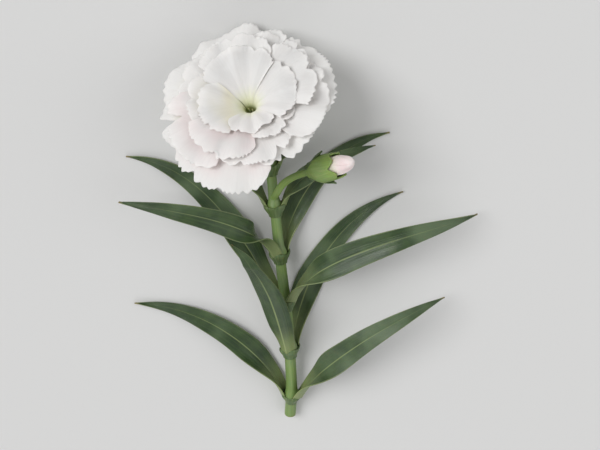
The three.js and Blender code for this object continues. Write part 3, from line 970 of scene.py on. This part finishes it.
def bud_line():
    """The middle of the bud's stalk, and the same line with its foot inside the main stalk."""
    ahead, side, top = stalk.frame(BUD_START)
    turn = math.radians(BUD_TURN)
    out = side * math.cos(turn) + top * math.sin(turn)
    away = stalk_radius(BUD_START) + GAP + BUD_STALK_RADIUS * 1.1
    root = stalk.at(BUD_START) + out * away
    end = root + towards(BUD_HEADING, BUD_RISE) * BUD_STALK_LENGTH
    knee = root + ahead * BUD_STALK_LENGTH * 0.4 + out * BUD_STALK_LENGTH * 0.06
    points = interpolate_bezier(root, root.lerp(knee, 2 / 3), end.lerp(knee, 2 / 3), end, 80)
    rooted = [p - out * away * 0.95 * (1 - smooth(i, 0, 24)) for i, p in enumerate(points)]
    return Line(points), Line(rooted)


bud_stalk, rooted_bud_stalk = bud_line()
bud_ahead, bud_side, bud_top = bud_stalk.frame(1)
bud_foot = bud_stalk.at(1) + bud_ahead * GAP


def in_bud(radius, angle, height):
    return (
        bud_foot
        + bud_side * (radius * math.cos(angle))
        + bud_top * (radius * math.sin(angle))
        + bud_ahead * height
    )


def bud_radius(along):
    pinch = 0.14 * smooth(along, 0.55, 1.15)
    return BUD_RADIUS * (0.5 + 0.5 * smooth(along, 0, 0.45)) * (1 - pinch)


class CARNATION_OT_bud(bpy.types.Operator):
    """Grow the side bud: its stalk, calyx, bracts and folded petals"""

    bl_idname = "carnation.grow_bud"
    bl_label = "Grow bud"

    def execute(self, context):
        colours = context.scene.carnation_colours
        skin = stem_material("bud_skin", colours.calyx, 3.4)

        def taper(z):
            return BUD_STALK_RADIUS * (1 + 0.15 * (1 - z)) + 0.25 * smooth(z, 0.93, 1)

        keep_piece(
            rod(rooted_bud_stalk, taper, 60, 20), "bud_stalk_grown", skin, ["bud_stalk"]
        )

        def cup(x, y, z):
            angle, from_axis = math.atan2(y, x), math.hypot(x, y)
            along = z + 0.16 * toothed(angle, 1.2) * smooth(z, 0.55, 0.86)
            ribs = 0.05 * math.cos(20 * angle) * smooth(z, 0.1, 0.3)
            radius = from_axis * (bud_radius(along) + ribs)
            pattern = (3 * math.cos(angle), 3 * math.sin(angle), along * BUD_LENGTH)
            return in_bud(radius, angle, along * BUD_LENGTH), pattern

        profile = [(0, 0), (0.5, 0)] + [(1, 0.04 + 0.82 * i / 24) for i in range(25)]
        keep_piece(
            spun_shape(profile, 100, cup),
            "bud_calyx_grown",
            skin,
            ["bud_calyx"],
            thickness=BRACT_THICKNESS * MM,
            offset=-1,
        )
        bract_skin = stem_material("bud_bract_skin", colours.leaf_light, 3.0)
        for i in range(2):
            turn = 10 + 180 * i

            def scale(u, v, turn=turn):
                along = -0.02 + 0.62 * u
                radius = bud_radius(max(along, 0)) + GAP + 0.25 + 0.8 * smooth(u, 0.6, 1.2)
                radius += 0.14 * math.exp(-((v / 0.16) ** 2))
                angle = math.radians(turn) + v * 2.1 * max(1 - u * u, 0.03) / radius
                place = in_bud(radius, angle, along * BUD_LENGTH + 0.5)
                return place, (2 * v, turn, u * 7), 1 - 0.8 * v * v

            keep_piece(
                grown_sheet(16, 22, scale, BRACT_EDGE),
                f"bud_bract_{i + 1}_grown",
                bract_skin,
                [f"bud_bract_{i + 1}"],
                thickness=BRACT_THICKNESS * MM,
                by_weight=True,
            )

        low, high = 0.16 * BUD_LENGTH, BUD_LENGTH + BUD_TIP

        def folded(x, y, z):
            angle, from_axis = math.atan2(y, x), math.hypot(x, y)
            height = mix(low, high, z)
            inside = bud_radius(height / BUD_LENGTH) - 0.4
            inside += 0.45 * smooth(height / BUD_LENGTH, 0.85, 1.1)
            tip = math.sqrt(max(1 - z**4, 0))
            twist = angle + 0.16 * height
            layer = ((BUD_PETALS * twist / math.tau) % 1) ** 0.7
            radius = from_axis * inside * tip * (1 - 0.2 * (1 - layer) * smooth(z, 0.6, 0.85))
            return in_bud(radius, angle, height), (2 * twist, z - 0.3, 7.7)

        profile = [(0, 0)] + [(1, (i + 0.35) / 60) for i in range(60)] + [(0, 1)]
        petals = petal_material("bud_petal", colours.pink, 0.5)
        shape = spun_shape(profile, 180, folded)
        keep_piece(shape, "bud_petals_grown", petals, ["bud_petals"])
        return {"FINISHED"}


# ---- Surface, light and camera ----


class CARNATION_OT_stage(bpy.types.Operator):
    """Set the pale surface, the soft lights and the camera"""

    bl_idname = "carnation.set_stage"
    bl_label = "Set stage"

    def execute(self, context):
        scene = context.scene
        floor = bmesh.new()
        bmesh.ops.create_grid(floor, x_segments=1, y_segments=1, size=FLOOR_SIZE)
        mesh = bpy.data.meshes.new("pale_surface")
        floor.to_mesh(mesh)
        floor.free()
        mesh.materials.append(plain_floor())
        surface = bpy.data.objects.new("pale_surface", mesh)
        scene.collection.objects.link(surface)

        middle = (cad_box[0] + cad_box[1]) / 2
        for name, place, wide, strength in LIGHTS:
            light = bpy.data.lights.new(name, "SUN")
            light.angle = math.radians(wide)
            light.energy = strength
            lamp = bpy.data.objects.new(name, light)
            lamp.location = place
            lamp.rotation_euler = (Vector(place) - middle).to_track_quat("Z", "Y").to_euler()
            scene.collection.objects.link(lamp)

        world = bpy.data.worlds.new("soft_room")
        world.use_nodes = True
        backdrop = next(node for node in world.node_tree.nodes if node.type == "BACKGROUND")
        backdrop.inputs["Color"].default_value = (1.0, 1.0, 1.0, 1)
        backdrop.inputs["Strength"].default_value = ROOM_LIGHT
        scene.world = world
        scene.view_settings.view_transform = "Standard"

        # The camera looks down on the flower, leaning a little towards its bloom.
        lean = math.radians(CAMERA_LEAN)
        back = Vector((0, math.sin(lean), math.cos(lean)))
        right = Vector((1, 0, 0))
        turn = Matrix((right, back.cross(right), back)).transposed().to_4x4()
        camera = bpy.data.cameras.new("camera")
        camera.lens = CAMERA_LENS
        camera.clip_start = 0.01
        eye = bpy.data.objects.new("camera", camera)
        aim = middle + back.cross(right) * CAMERA_RISE
        eye.matrix_world = Matrix.Translation(aim + back * CAMERA_DISTANCE) @ turn
        scene.collection.objects.link(eye)
        scene.camera = eye
        return {"FINISHED"}


class CARNATION_PT_panel(bpy.types.Panel):
    """Lists the steps that grow the flower, and what can be changed"""

    bl_idname = "CARNATION_PT_panel"
    bl_label = "Cut carnation"
    bl_space_type = "VIEW_3D"
    bl_region_type = "UI"
    bl_category = "Carnation"

    def draw(self, context):
        for step in STEPS:
            self.layout.operator(step.bl_idname)
        for name, group in GROUPS.items():
            column = self.layout.column()
            for key in group.__annotations__:
                column.prop(getattr(context.scene, name), key)


GROUPS = {
    "carnation_greenery": CarnationGreenery,
    "carnation_bloom": CarnationBloom,
    "carnation_colours": CarnationColours,
}
STEPS = (
    CARNATION_OT_stage,
    CARNATION_OT_stalk,
    CARNATION_OT_leaves,
    CARNATION_OT_calyx,
    CARNATION_OT_petals,
    CARNATION_OT_heart,
    CARNATION_OT_bud,
)


def register():
    for kind in (*GROUPS.values(), *STEPS, CARNATION_PT_panel):
        bpy.utils.register_class(kind)
    for name, group in GROUPS.items():
        setattr(bpy.types.Scene, name, PointerProperty(type=group))


def unregister():
    for name in GROUPS:
        delattr(bpy.types.Scene, name)
    for kind in reversed((*GROUPS.values(), *STEPS, CARNATION_PT_panel)):
        bpy.utils.unregister_class(kind)


def main():
    register()
    bpy.ops.carnation.set_stage()
    bpy.ops.carnation.grow_stalk()
    bpy.ops.carnation.grow_leaves()
    bpy.ops.carnation.grow_calyx()
    bpy.ops.carnation.grow_petals()
    bpy.ops.carnation.grow_heart()
    bpy.ops.carnation.grow_bud()


if __name__ == "__main__":
    main()
